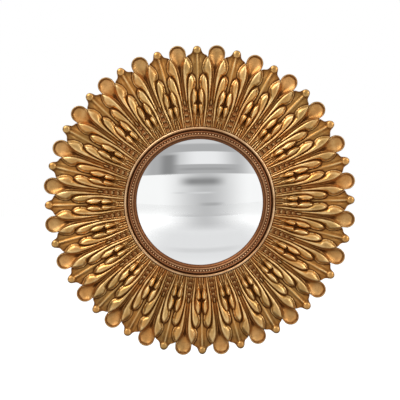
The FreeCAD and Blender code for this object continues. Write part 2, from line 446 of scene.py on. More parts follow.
@dataclass(frozen=True)
class GiltFinish:
    """Leaf gold over red-brown clay, with painted highlights on the ridges and painted shade with grime
    in the recesses.
    """

    name: str
    leaf: Colour = (0.62, 0.27, 0.055)
    olive: Colour = (0.46, 0.25, 0.065)
    # painted highlight colour, laid on ridges by the highlight mask
    highlight_gold: Colour = (0.95, 0.65, 0.29)
    clay: Colour = (0.36, 0.120, 0.042)
    # painted shade with grime, laid into crevices and hollows by the recess mask
    dirt_and_shade: Colour = (0.115, 0.036, 0.005)
    roughness: float = 0.29
    patch_scale: float = 26.0
    speck_scale: float = 320.0
    age_scale: float = 15.0
    highlight_least: float = 0.42  # how bright the painted highlight on a ridge gets at the least
    highlight_patches: float = 0.80  # how much brighter the painted highlight gets on a mottled patch
    # a faint painted highlight all over
    highlight_all_over: float = 0.06
    clay_specks: float = 0.35
    clay_dull: float = 0.7
    dull_rough: float = 0.35
    patch_rough: float = 0.08
    matt_rough: float = 0.08
    dull_metal: float = 0.3

    def material(self) -> bpy.types.Material:
        """Builds the finish, which reads the mesh's recess (painted shade with grime), painted
        highlight, clay and matt numbers.

        Returns:
            The material.
        """
        material, tree, shader = start_material(self.name)
        recess = tree.attribute("recess")
        painted_highlight = tree.attribute("painted_highlight")
        patches = tree.group(MOTTLE, Scale=self.patch_scale, Low=0.42, High=0.68).outputs[0]
        specks = tree.group(MOTTLE, Scale=self.speck_scale, Low=0.52, High=0.66).outputs[0]
        aged = tree.group(MOTTLE, Scale=self.age_scale, Low=0.40, High=0.60).outputs[0]
        # painted highlight on ridges, stronger on mottled patches
        highlight_level = tree.plus(tree.times(patches, self.highlight_patches), self.highlight_least)
        tint = tree.plus(tree.times(painted_highlight, highlight_level), self.highlight_all_over)
        gold = tree.blend(tint, tree.blend(aged, self.leaf, self.olive), self.highlight_gold)
        clay = tree.plus(tree.attribute("clay"), tree.times(specks, self.clay_specks))
        clay = tree.times(clay, tree.maths("SUBTRACT", 1.0, painted_highlight))
        toned = tree.blend(clay, gold, self.clay)
        # the recess mask mixes in painted shade with grime
        colour = tree.blend(recess, toned, self.dirt_and_shade)
        dull = tree.maths("MAXIMUM", recess, tree.times(clay, self.clay_dull))
        rough = tree.plus(tree.times(dull, self.dull_rough), self.roughness)
        rough = tree.plus(rough, tree.times(patches, self.patch_rough))
        rough = tree.plus(rough, tree.times(tree.attribute("matt"), self.matt_rough))
        metal = tree.maths("SUBTRACT", 1.0, tree.times(dull, self.dull_metal))
        shader.inputs["Specular IOR Level"].default_value = 0.2
        grain = tree.group(GRAIN, Scale=900.0, Stretch=1.0).outputs[0]
        bump = tree.feed(tree.node("Bump"), Strength=0.12, Distance=0.0004, Height=grain)
        tree.feed(shader, Base_Color=colour, Roughness=rough, Metallic=metal, Normal=bump.outputs[0])
        return material


@dataclass(frozen=True)
class SilveredGlass:
    """Clear glass with silver behind it, seen as a bright mirror."""

    name: str = "silvered_glass"
    tint: Colour = (0.93, 0.94, 0.94)
    haze_dim: float = 0.985
    clear_rough: float = 0.012
    haze_rough: float = 0.03

    def material(self) -> bpy.types.Material:
        """Builds the finish: a near perfect mirror with the faintest haze.

        Returns:
            The material.
        """
        material, tree, shader = start_material(self.name)
        haze = tree.group(MOTTLE, Scale=18.0, Low=0.35, High=0.8).outputs[0]
        deeper = tuple(self.haze_dim * part for part in self.tint)
        colour = tree.blend(haze, self.tint, deeper)
        rough = tree.spread(haze, self.clear_rough, self.haze_rough)
        tree.feed(shader, Base_Color=colour, Roughness=rough, Metallic=1.0)
        return material


@dataclass(frozen=True)
class PlainFinish:
    """Painted, moulded, wooden or metal surface with patches, grain and a fine bump."""

    name: str
    light: Colour
    dark: Colour
    roughness: float
    metallic: float = 0.0
    patch_scale: float = 30.0
    grain_scale: float = 500.0
    stretch: float = 1.0
    grain_share: float = 0.5
    bump_depth: float = 0.0003
    smoother: float = 0.06  # how far the roughness falls below its middle
    rougher: float = 0.08  # and how far it rises above

    def material(self) -> bpy.types.Material:
        """Builds the finish.

        Returns:
            The material.
        """
        material, tree, shader = start_material(self.name)
        patches = tree.group(MOTTLE, Scale=self.patch_scale, Low=0.35, High=0.7).outputs[0]
        grain = tree.group(GRAIN, Scale=self.grain_scale, Stretch=self.stretch).outputs[0]
        share = tree.times(grain, self.grain_share)
        share = tree.plus(share, tree.times(patches, 1.0 - self.grain_share))
        colour = tree.blend(share, self.light, self.dark)
        rough = tree.spread(share, self.roughness - self.smoother, self.roughness + self.rougher)
        bump = tree.feed(tree.node("Bump"), Strength=0.3, Distance=self.bump_depth, Height=grain)
        tree.feed(shader, Base_Color=colour, Roughness=rough, Normal=bump.outputs[0])
        shader.inputs["Metallic"].default_value = self.metallic
        return material


# ------------------------------------------------------------------------------ carving


def smooth_curve(r: np.ndarray, knots: Knots) -> tuple[np.ndarray, np.ndarray]:
    """A curve through knots that doesn't overshoot, held flat beyond its ends.

    Args:
        r: Where the curve is wanted.
        knots: Points of (r, value) with rising r.

    Returns:
        The values and the slopes at r.
    """
    x, y = (np.array(column, float) for column in zip(*knots))
    step = np.diff(x)
    rise = np.diff(y) / step
    slopes = np.concatenate(([rise[0]], np.zeros(len(x) - 2), [rise[-1]]))
    both = rise[:-1] * rise[1:]
    inner = np.where(both > 0, 2 * both / np.where(both > 0, rise[:-1] + rise[1:], 1.0), 0.0)
    slopes[1:-1] = inner
    held = np.clip(r, x[0], x[-1])
    k = np.clip(np.searchsorted(x, held) - 1, 0, len(x) - 2)
    s = (held - x[k]) / step[k]
    a, b = y[k], y[k + 1]
    da, db = slopes[k] * step[k], slopes[k + 1] * step[k]
    value = (1 + 2 * s) * (1 - s) ** 2 * a + s * (1 - s) ** 2 * da
    value += s**2 * (3 - 2 * s) * b + s**2 * (s - 1) * db
    slope = 6 * s * (s - 1) * (a - b) + (3 * s**2 - 4 * s + 1) * da + (3 * s**2 - 2 * s) * db
    return value, slope / step[k]


def ramp(value: np.ndarray, low: float, high: float) -> np.ndarray:
    """A soft step from 0 at low to 1 at high."""
    s = np.clip((value - low) / (high - low), 0.0, 1.0)
    return s * s * (3 - 2 * s)


def bump(value: np.ndarray, middle: float, width: float) -> np.ndarray:
    """A soft bump of height 1."""
    return np.exp(-(((value - middle) / width) ** 2))


def swell(depth: np.ndarray, reach: float) -> np.ndarray:
    """A rounded rise from 0 at an edge to 1 at reach inside it."""
    s = np.clip(depth / reach, 0.0, 1.0)
    return np.sqrt(1 - (1 - s) ** 2)


WALL_SLOPE = 3.2  # of the steep sides of carved forms
BELOW = -100.0  # a height at which nothing shows
HUSK_SHOULDER = 1.3  # from a husk's edge to where it starts to rise
HUSK_RIM_AT = 0.8
HUSK_RIM_WIDTH = 0.7
LEAF_DIP = 1.4  # behind the leaf's tip
LEAF_LIP = 2.6  # of the turned-up edge
LEAF_INSET = 1.5  # of the leaf's side from the outermost husk's
MIDRIB_RISE = 2.2
MIDRIB_WIDTH = 3.2
SIDE_RIB_RISE = 1.0
BULB_H = 37.0
BULB_RISE = 4.2
BULB_ROOT_SLOPE = 0.9  # towards the glass
BOWL_RIM = 1.2  # from the spoon's edge to its bowl
BOWL_DEPTH = 6.8
CHANNEL_DEPTH = 3.4
SPOON_LIP = 1.1
SPOON_LINE = 0.9  # the incised line near the spoon's tip
SPOON_EDGE_DROP = 1.6
SCALE_H = 37.4
SCALE_SLOPE = 0.26  # each disc leans out over the one before
SCALE_RISE = 1.5
DROP_H = 34.6
DROP_RISE = 3.4
FINE_REACH = 2.5  # cells over which small crevices and ridges are found
BROAD_REACH = 7.0
BACK_DARK = 0.6  # of the unseen rear of the casting


class Form(IntEnum):
    """The forms of the carving, in the order in which they are stacked."""

    GROUND = 0
    SPOON = 1
    DISCS = 2
    LEAF = 3
    HUSK = 4


BROAD_SHARE = (0.5, 0.12, 0.3, 0.18, 0.35)  # how dark the painted shade in broad hollows is on each form


@dataclass(frozen=True)
class Husk:
    """A crowned husk with a thin rim, on a stem that runs towards the glass."""

    inner: Knots
    outer: Knots
    edge: Knots
    crown: float
    reach: float
    tilt: float = 0.0
    rim: float = 0.7
    rooted: bool = True

    def height(self, t: np.ndarray, r: np.ndarray) -> np.ndarray:
        """Depth of the husk's surface in front of the wall.

        Args:
            t: Distance from the leaf's midrib.
            r: Distance from the mirror's axis.

        Returns:
            The height, which falls away steeply outside the husk.
        """
        low, low_slope = smooth_curve(r, self.inner)
        high, high_slope = smooth_curve(r, self.outer)
        inside = (t - low) / np.sqrt(1 + low_slope**2)
        outside = (high - t) / np.sqrt(1 + high_slope**2)
        depth = np.minimum(np.minimum(inside, outside), self.inner[-1][0] - r)
        if not self.rooted:
            depth = np.minimum(depth, r - self.inner[0][0])
        edge = smooth_curve(r, self.edge)[0]
        across = np.clip((2 * t - low - high) / np.maximum(high - low, 1.0), -1.0, 1.0)
        rise = self.crown * swell(depth - HUSK_SHOULDER, self.reach)
        rise = rise + self.tilt * across * ramp(depth, 0.0, 3.0)
        rise += self.rim * bump(depth, HUSK_RIM_AT, HUSK_RIM_WIDTH)
        foot = self.rim * bump(0.0, HUSK_RIM_AT, HUSK_RIM_WIDTH)
        return edge + np.where(depth > 0, rise, foot + WALL_SLOPE * depth)


@dataclass
class CarvedCrown:
    """The gilded casting: leaves with husks, and spoon petals between them."""

    units: int = 24
    sectors: int = 6
    columns: int = 48  # in half a unit
    rows: int = 186
    bore: float = 159.0
    start_r: float = 182.5
    even_r: float = 338.0  # rows are even up to here
    ground: float = 31.0
    back: float = 17.0
    flat_back_r: float = 290.0
    undercut_r: float = 306.0
    undercut: float = 24.0
    head_r: float = 355.0
    head_size: float = 20.0
    bulb_r: float = 362.4
    bulb_size: float = 9.2
    bowl_r: float = 320.0  # the spoon's bowl covers the leaf beyond here
    leaf_free_r: float = 340.0  # and the leaf's side is the silhouette beyond here
    husks: tuple[Husk, ...] = field(default_factory=lambda: CROWN_HUSKS)

    @property
    def half(self) -> float:
        """Half the angle of a unit, from a leaf's midrib to a spoon's middle."""
        return math.pi / self.units

    def outline(self, beta: np.ndarray) -> np.ndarray:
        """Radius of the silhouette at an angle from the leaf's midrib.

        Args:
            beta: The angle in radians, from 0 to half a unit.

        Returns:
            The radius of the crown's edge.
        """
        angles = [(t / r, r) for t, r in LEAF_OUTLINE]
        leaf = smooth_curve(beta, angles)[0]
        side = self.head_r * np.sin(self.half - beta)
        under = self.head_size**2 - side**2
        spoon = self.head_r * np.cos(self.half - beta) + np.sqrt(np.maximum(under, 0.0))
        return np.where(under > 0, np.maximum(spoon, leaf), leaf)

    def leaf(self, t: np.ndarray, r: np.ndarray, edge: np.ndarray) -> np.ndarray:
        """The leaf's own surface: a hollow with a midrib, and a bulb at the tip.

        Args:
            t: Distance from the midrib.
            r: Distance from the mirror's axis.
            edge: Distance to the silhouette, inwards.

        Returns:
            The height.
        """
        floor = smooth_curve(r, LEAF_FLOOR)[0]
        rib = bump(t, 0.0, MIDRIB_WIDTH)
        floor = floor - LEAF_DIP * bump(r, 346.0, 10.0) * (1 - rib)
        floor = floor + MIDRIB_RISE * rib * ramp(r, 262.0, 285.0) * (1 - ramp(r, 352.0, 360.0))
        floor = floor + SIDE_RIB_RISE * bump(t, 9.5, 2.4) * bump(r, 335.0, 16.0)
        floor = floor + LEAF_LIP * bump(edge, 1.4, 1.4) * ramp(t, 9.0, 14.0)
        away = np.hypot(t, r - self.bulb_r)
        bulb = BULB_H + BULB_RISE * np.sqrt(np.clip(1 - (away / self.bulb_size) ** 2, 0.0, 1.0))
        fall = np.where(r < self.bulb_r, BULB_ROOT_SLOPE, WALL_SLOPE)
        bulb = np.where(away < self.bulb_size, bulb, BULB_H + fall * (self.bulb_size - away))
        return np.maximum(floor, bulb)

    def shade(self, beta: np.ndarray, r: np.ndarray, form: np.ndarray) -> np.ndarray:
        """How dark each form is painted apart from its crevices, with painted shade in the leaf's hollow
        and on the deep ground.

        Args:
            beta: Angles from the leaf's midrib.
            r: Radii.
            form: Number of the form that shows; each husk has its own.

        Returns:
            Shares from 0 for bright leaf to 1 for the ground, which lies in painted shade.
        """
        t = r * beta
        bulb = 1 - ramp(np.hypot(t, r - self.bulb_r), 7.0, 10.5)
        rib = bump(t, 0.0, 2.4) * ramp(r, 262.0, 280.0)
        # painted shade in the leaf's hollow, lighter on the midrib and the bulb that catch the light
        leaf = 0.34 + 0.12 * bump(r, 340.0, 20.0) + 0.10 * (1 - ramp(r, 236.0, 262.0))
        leaf = leaf * (1 - 0.45 * rib) * (1 - 0.6 * bulb)
        neck = 0.15 * (1 - ramp(r, 300.0, 335.0))
        husk = 0.14 * ramp(r, 290.0, 320.0)
        return np.choose(np.minimum(form, Form.HUSK), [0.9, neck, 0.58, leaf, husk])

    def spoon_depth(self, q: np.ndarray, r: np.ndarray) -> np.ndarray:
        """Distance inwards from the edge of the spoon petal.

        Args:
            q: Distance from the spoon's middle line.
            r: Distance from the mirror's axis.

        Returns:
            The distance, negative outside.
        """
        width, slope = smooth_curve(r, SPOON_NECK)
        neck = (width - q) / np.sqrt(1 + slope**2)
        head = self.head_size - np.hypot(q, r - self.head_r)
        return np.where(r < 350.0, np.maximum(neck, head), head)

    def spoon(self, q: np.ndarray, r: np.ndarray) -> np.ndarray:
        """The spoon petal: a dished head with a rim, on a channelled neck.

        Args:
            q: Distance from the spoon's middle line.
            r: Distance from the mirror's axis.

        Returns:
            The height.
        """
        depth = self.spoon_depth(q, r)
        width, slope = smooth_curve(r, SPOON_NECK)
        edge = smooth_curve(r, SPOON_EDGE)[0]
        middle = np.maximum(width / np.sqrt(1 + slope**2), self.head_size - np.abs(r - self.head_r))
        middle = np.where(r < self.head_r, middle, self.head_size)
        share = np.clip((depth - BOWL_RIM) / np.maximum(middle - BOWL_RIM, 1.0), 0.0, 1.0)
        bowl = BOWL_DEPTH * share * (2.0 - share) * ramp(r, 312.0, 350.0)
        channel = np.minimum(0.5 * width, CHANNEL_DEPTH) * ramp(depth / width, 0.12, 0.95)
        channel = channel * (1 - ramp(r, 318.0, 345.0))
        rise = SPOON_LIP * bump(depth, 1.5, 1.1) - bowl - channel
        rise = rise - SPOON_LINE * bump(r, 368.8, 1.3) * (1 - ramp(q, 5.5, 9.0))
        rise = rise - SPOON_EDGE_DROP * (1 - ramp(depth, 0.0, 1.3)) * ramp(r, 330.0, 345.0)
        return edge + np.where(depth > 0, rise, WALL_SLOPE * depth)

    def scales(self, q: np.ndarray, r: np.ndarray) -> np.ndarray:
        """The column of overlapping discs under the spoon's neck, with a drop on top.

        Args:
            q: Distance from the spoon's middle line.
            r: Distance from the mirror's axis.

        Returns:
            The height.
        """
        height = np.full_like(q, BELOW)
        for middle, width in SCALES:
            end = middle - 1.5
            depth = width - np.hypot(q, np.minimum(r - end, 0.0))
            top = SCALE_H - SCALE_SLOPE * (r - middle + 6.0)
            top = top + SCALE_RISE * swell(depth, 2.4) - SCALE_RISE
            shape = top + np.where(depth > 0, 0.0, WALL_SLOPE * depth)
            height = np.maximum(height, np.where(r < middle + 10.0, shape, BELOW))
        drop = 1.0 - np.hypot(q / 2.4, (r - 240.0) / 6.4)
        drop_h = DROP_H + DROP_RISE * swell(drop, 1.0) + 8.0 * np.minimum(drop, 0.0)
        return np.maximum(height, drop_h)

    def surface(
        self, beta: np.ndarray, r: np.ndarray, rim: np.ndarray
    ) -> tuple[np.ndarray, np.ndarray]:
        """The carved face, as the highest of all the forms.

        Args:
            beta: Angles from the leaf's midrib, 0 to half a unit.
            r: Radii.
            rim: The silhouette's radius at the same angles.

        Returns:
            Heights in front of the wall, and the number of the Form that shows, where each
            husk counts on from the first.
        """
        t = r * beta
        q = r * (self.half - beta)
        forms = [np.full_like(t, self.ground), self.spoon(q, r), self.scales(q, r)]
        body = smooth_curve(r, self.husks[0].outer)[0] - LEAF_INSET
        inside = np.where(r > self.leaf_free_r, 5.0, body - t)
        leaf = self.leaf(t, r, rim - r)
        in_bowl = (r > self.bowl_r) & (self.spoon_depth(q, r) > BOWL_RIM)
        leaf = np.where(in_bowl, BELOW, leaf)
        forms.append(np.where(inside > 0, leaf, leaf + WALL_SLOPE * inside))
        forms += [husk.height(t, r) for husk in self.husks]
        stack = np.stack(forms)
        return stack.max(0), stack.argmax(0)

    def face(self) -> tuple[np.ndarray, np.ndarray, np.ndarray, dict[str, np.ndarray]]:
        """The face of half a unit on a grid of rows and columns.

        Returns:
            Angles, radii and heights on the grid, and the numbers of painted shade, painted highlight,
            matt and clay on it.
        """
        beta = np.linspace(0.0, self.half, self.columns + 1)
        rim = self.outline(beta)
        even = int(self.rows * 0.8)
        near = np.linspace(self.start_r, self.even_r, even)
        share = np.linspace(0.0, 1.0, self.rows - even + 1)[1:]
        far = self.even_r + share[:, None] * (rim - self.even_r)
        r = np.vstack([np.repeat(near[:, None], len(beta), 1), far])
        angles = np.broadcast_to(beta, r.shape)
        h, form = self.surface(angles, r, np.broadcast_to(rim, r.shape))
        fine = h - blurred(h, FINE_REACH)
        broad = h - blurred(h, BROAD_REACH)
        q = r * (self.half - angles)
        clay = 0.70 * (1 - ramp(q, 4.0, 7.5)) * (1 - ramp(r, 232.0, 246.0))
        clay = np.maximum(clay, 0.40 * (1 - ramp(r, 184.0, 230.0)))
        clay = np.maximum(clay, np.where(form == Form.SPOON, 0.30, 0.0))
        dish = np.where(form == Form.SPOON, ramp(r, 335.0, 350.0), 0.0)
        # painted shade on the bowl's inner wall under the spoon's lip
        rim_shade = dish * bump(self.spoon_depth(q, r), 3.6, 2.2) * ramp(r, 352.0, 364.0)
        # painted highlight on ridges and in the spoon's bowl, taken off where the rim shade lies
        painted_highlight = ramp(fine, 0.05, 0.8) + 0.35 * ramp(broad, 0.6, 2.6) + 0.35 * dish - rim_shade
        painted_highlight = painted_highlight * np.where((form == Form.LEAF) & (r > 350.0), 0.3, 1.0)
        broad_share = np.choose(np.minimum(form, Form.HUSK), BROAD_SHARE)
        fine_share = np.where(np.isin(form, (Form.SPOON, Form.LEAF)) & (r > 332.0), 0.35, 1.0)
        # painted shade with grime in crevices and hollows, the painted shade of each form and a dark
        # line along the silhouette
        recess = fine_share * ramp(-fine, 0.10, 0.85) + broad_share * ramp(-broad, 0.5, 2.6)
        recess = recess + self.shade(angles, r, form) + 0.5 * (1 - ramp(rim - r, 0.2, 1.5))
        recess = recess + 0.75 * rim_shade
        wear_and_light = {
            "recess": np.clip(recess, 0.0, 1.0),
            "painted_highlight": np.clip(painted_highlight, 0.0, 1.0),
            "matt": dish,
            "clay": np.clip(clay, 0.0, 1.0),
        }
        return angles, r, h, wear_and_light

    def build(self) -> list[bpy.types.Object]:
        """Models one sector of four units and copies it round the crown.

        Returns:
            The sectors, which together make the closed casting.
        """
        angles, r, h, wear_and_light = self.face()
        order = list(range(self.columns, 0, -1)) + list(range(self.columns))
        signs = np.array([-1.0] * self.columns + [1.0] * self.columns)
        units = self.units // self.sectors
        columns = order * units + [self.columns]
        turns = np.concatenate([(signs * angles[0][order]) + 2 * self.half * k for k in range(units)])
        turns = np.append(turns, 2 * self.half * units - self.half)
        edge_r, edge_h = r[-1], h[-1]
        outer = [(edge_r - 0.15, edge_h - 0.5), (edge_r, edge_h - 1.2), (edge_r, self.undercut + 0.8)]
        outer.append((edge_r - 0.8, np.full_like(edge_r, self.undercut)))
        flat = [(self.undercut_r, self.undercut), (self.flat_back_r, self.back)]
        flat += [(self.bore, self.back), (self.bore, self.ground), (self.start_r, self.ground)]
        back_r = [np.broadcast_to(a, edge_r.shape) for a, _ in outer + flat]
        back_h = [np.broadcast_to(b, edge_r.shape) for _, b in outer + flat]
        rows_r = np.vstack([r, back_r, r[:1]])[:, columns]
        rows_h = np.vstack([h, back_h, h[:1]])[:, columns]
        x = rows_r * np.sin(turns) * MM
        z = rows_r * np.cos(turns) * MM
        points = np.stack([x, -rows_h * MM, z], axis=-1)
        masks = {}
        for name, values in wear_and_light.items():
            filled = np.vstack([values, np.repeat(values[-1:], len(outer), 0)])
            filled = np.vstack([filled, np.full((len(flat), len(edge_r)), BACK_DARK), values[:1]])
            masks[name] = filled[:, columns]
        first = grid_piece("crown_sector_1", points, masks)
        width = 360.0 / self.sectors
        pieces = [first]
        for k in range(1, self.sectors):
            pieces.append(copy_of(first, f"crown_sector_{k + 1}", turned(k * width)))
        return pieces


def blurred(values: np.ndarray, cells: float) -> np.ndarray:
    """The values smoothed over some cells, mirrored at the unit's sides.

    Args:
        values: Numbers on the grid.
        cells: How far the smoothing reaches.

    Returns:
        The smoothed numbers.
    """
    reach = int(3 * cells)
    weights = np.exp(-0.5 * (np.arange(-reach, reach + 1) / cells) ** 2)
    weights /= weights.sum()
    wide = np.pad(values, ((0, 0), (reach, reach)), mode="reflect")
    wide = np.apply_along_axis(np.convolve, 1, wide, weights, "valid")
    tall = np.pad(wide, ((reach, reach), (0, 0)), mode="edge")
    return np.apply_along_axis(np.convolve, 0, tall, weights, "valid")


def grid_piece(name: str, points: np.ndarray, masks: dict[str, np.ndarray]) -> bpy.types.Object:
    """A closed piece whose rows run round its section and whose columns run along it.

    Args:
        name: The piece's name.
        points: Places of shape rows, columns, 3; the last row repeats the first.
        masks: Numbers for each point, kept on the mesh.

    Returns:
        The piece, capped at both ends.
    """
    rows, columns = points.shape[:2]
    deselect_all()
    bpy.ops.mesh.primitive_grid_add(x_subdivisions=columns - 1, y_subdivisions=rows - 1, size=2.0)
    piece = named_primitive(name)
    mesh = piece.data
    start = places(mesh)
    column = np.rint((start[:, 0] + 1) / 2 * (columns - 1)).astype(int)
    row = np.rint((start[:, 1] + 1) / 2 * (rows - 1)).astype(int)
    mesh.vertices.foreach_set("co", points[row, column].astype(np.float32).ravel())
    keep_masks(mesh, {label: values[row, column] for label, values in masks.items()})
    mesh.update()
    bpy.ops.object.mode_set(mode="EDIT")
    bpy.ops.mesh.select_all(action="SELECT")
    bpy.ops.mesh.remove_doubles(threshold=2e-6)
    bpy.ops.mesh.fill_holes(sides=0)
    bpy.ops.object.mode_set(mode="OBJECT")
    return settle(piece, Shading.SOFT)


# (t, r) of the leaf's outline, then (r, value) of floor height, half width of neck and edge height
LEAF_OUTLINE = [(0.0, 371.5), (3.4, 371.0), (6.6, 369.0), (8.9, 366.0), (10.2, 362.6)]
LEAF_OUTLINE += [(11.3, 359.2), (13.0, 356.0), (16.2, 353.2), (20.2, 351.4), (23.2, 349.6)]
LEAF_OUTLINE += [(25.4, 346.6), (46.0, 344.0)]
LEAF_FLOOR = [(182.0, 32.6), (222.0, 32.2), (242.0, 32.8), (300.0, 34.4), (335.0, 36.0)]
LEAF_FLOOR += [(350.0, 35.6), (372.0, 36.0)]
SPOON_NECK = [(236.0, 1.7), (269.0, 2.1), (299.0, 3.1), (314.0, 4.9), (322.0, 6.8)]
SPOON_NECK += [(329.5, 9.5), (337.0, 13.4), (344.5, 17.3), (352.0, 19.8)]
SPOON_EDGE = [(236.0, 33.4), (300.0, 35.2), (330.0, 37.2), (350.0, 39.0), (375.0, 39.6)]
# (r of the middle, half width) of each disc of a column, from the outermost
SCALES = [(228.0, 4.0), (214.5, 4.3), (201.0, 4.5), (188.5, 4.7)]

# sides and edge heights of the husks by r, from the outermost pair to the lance on the midrib
CROWN_HUSKS = (
    Husk(
        inner=[(182, 15.4), (212, 19.2), (239, 22.8), (263, 23.4), (290, 21.6), (303.8, 19.4)]
        + [(310.8, 14.9), (320.4, 12.0), (329.5, 13.4), (335.5, 15.8), (341.5, 19.4), (346, 22.8)]
        + [(348.6, 25.8)],
        outer=[(182, 18.3), (212, 23.2), (245, 28.4), (269, 31.7), (299, 35.3), (316, 36.0)]
        + [(329.5, 34.5), (338, 31.6), (344, 28.9), (348.6, 25.8)],
        edge=[(182, 34.4), (245, 35.8), (300, 36.8), (325, 38.4), (348.6, 38.4)],
        crown=6.2,
        reach=9.5,
        tilt=2.4,
    ),
    Husk(
        inner=[(182, 10.1), (212, 11.8), (239, 14.4), (255, 13.6), (268, 9.0), (276.7, 6.0), (287, 5.0)]
        + [(295, 6.2), (299, 7.8), (303, 10.4), (305.8, 13.6)],
        outer=[(182, 15.7), (212, 20.2), (239, 24.0), (263, 24.8), (275, 24.6), (287, 23.8), (295, 22.4)]
        + [(301, 19.6), (304.2, 16.8), (305.8, 13.6)],
        edge=[(182, 34.6), (239, 37.0), (265, 38.6), (295, 39.6), (305.8, 39.4)],
        crown=5.6,
        reach=7.5,
        tilt=2.2,
    ),
    Husk(
        inner=[(182, 6.4), (206, 7.2), (225, 8.6), (236, 7.6), (240, 4.9), (247, 3.1), (255, 2.5)]
        + [(263, 3.3), (268, 4.8), (271.5, 7.0), (273, 9.0)],
        outer=[(182, 9.8), (206, 11.4), (225, 13.2), (239, 15.2), (247, 16.6), (255, 16.9), (263, 15.7)]
        + [(268, 13.8), (271.5, 11.4), (273, 9.0)],
        edge=[(182, 34.8), (237, 38.4), (255, 40.4), (273, 40.2)],
        crown=5.6,
        reach=5.6,
        tilt=-2.0,
    ),
    Husk(
        inner=[(197, 6.3), (206, 5.0), (218, 3.6), (228, 2.2), (232, 2.3), (235, 3.8), (237, 7.2)],
        outer=[(197, 6.7), (206, 8.2), (218, 11.4), (226, 13.0), (230, 13.0), (234, 11.4), (237, 7.2)],
        edge=[(197, 36.0), (215, 38.8), (230, 40.2), (237, 40.0)],
        crown=5.2,
        reach=4.6,
        tilt=-1.3,
        rooted=False,
    ),
    Husk(
        inner=[(182, 0.5), (224, 0.4), (226, 0.5)],
        outer=[(182, 6.1), (200, 5.4), (212, 4.0), (226, 0.6)],
        edge=[(182, 34.6), (226, 33.2)],
        crown=3.4,
        reach=2.6,
        rim=0.0,
    ),
)


# ------------------------------------------------------------------- sight ring and glass


@dataclass
class SightRing:
    """The moulding round the glass: smooth bead, groove and a band with a row of beads."""

    steps: int = 240
    beads: int = 150
    bead_r: float = 165.4  # radius of the row
    bead_h: float = 39.1
    bead_size: float = 1.9
    bead_stretch: float = 1.25

    def profile(self) -> Knots:
        """The section of the moulding, clockwise from its lip.

        Returns:
            Points of (r, h) in millimetres.
        """
        bead = []
        for k in range(13):
            angle = math.radians(-12 + 204 * k / 12)
            bead.append((178.5 + 3.5 * math.cos(angle), 35.6 + 3.5 * math.sin(angle)))
        section = [(152.5, 31.0), (182.0, 31.0), (182.0, 34.4)] + bead
        section += [(174.2, 34.8), (172.6, 34.6), (171.8, 36.6), (171.2, 39.0), (170.6, 40.1)]
        section += [(169.6, 40.4), (168.6, 39.8), (167.8, 38.7), (165.4, 38.2), (163.0, 38.6)]
        section += [(162.2, 39.4), (161.2, 39.8), (159.8, 39.4), (158.8, 38.2), (158.0, 36.5)]
        section += [(156.6, 36.0), (155.4, 35.3), (154.0, 34.0), (152.9, 33.0), (152.5, 32.2)]
        return section

    def build(self) -> list[bpy.types.Object]:
        """Spins the moulding and sets its beads.

        Returns:
            The moulding and its row of beads.
        """
        ring = settle(lathe("sight_moulding", self.profile(), self.steps), Shading.SOFT)
        self.wear_and_light(ring)
        return [ring, self.bead_row("bead_row_1")]

    def wear_and_light(self, ring: bpy.types.Object) -> None:
        """Stores the painted shade of the grooves, the painted highlight of the high lines and the clay
        on the moulding.

        Args:
            ring: The moulding.
        """
        place = places(ring.data) / MM
        r = np.hypot(place[:, 0], place[:, 2])
        h = -place[:, 1]
        # painted shade in the grooves and on the slope inside the outer bead
        dark = 1.3 * bump(r, 173.4, 3.6) * ramp(-h, -38.6, -36.0) + 0.9 * bump(r, 165.4, 3.4)
        dark += bump(r, 157.4, 1.7) + 0.7 * bump(r, 153.0, 1.6)
        # painted highlight on the crests of the outer bead and of the band's inner edge
        bright = bump(r, 179.3, 2.3) * ramp(h, 37.0, 38.8)
        bright = bright + 0.6 * bump(r, 160.6, 1.5) * ramp(h, 38.8, 39.7)
        clay = np.where(r < 172.5, 0.55, 0.08)
        keep_masks(ring.data, {"recess": dark, "painted_highlight": bright, "clay": clay})

    def bead_row(self, name: str) -> bpy.types.Object:
        """A ring of small beads, slightly longer than wide.

        Args:
            name: The piece's name.

        Returns:
            All the beads as one piece.
        """
        deselect_all()
        bpy.ops.mesh.primitive_uv_sphere_add(segments=8, ring_count=5, radius=self.bead_size * MM)
        one = named_primitive(name + "_one")
        one.data.transform(Matrix.Diagonal((self.bead_stretch, 1.0, 1.0, 1.0)))
        one.data.transform(Matrix.Translation((0.0, -self.bead_h * MM, self.bead_r * MM)))
        settle(one, Shading.SOFT)
        parts = [one]
        for k in range(1, self.beads):
            parts.append(copy_of(one, f"{name}_{k}", turned(360.0 * k / self.beads)))
        row = joined(name, parts)
        height = -places(row.data)[:, 1].astype(float) / MM
        h = self.bead_h
        wear_and_light = {
            # painted shade at the foot of each bead and a painted highlight on its top
            "recess": 0.8 * ramp(-height, -(h + 0.4), -(h - 0.8)),
            "painted_highlight": 0.9 * ramp(height, h + 0.2, h + self.bead_size),
            "clay": np.full(len(height), 0.3),
        }
        keep_masks(row.data, wear_and_light)
        return row


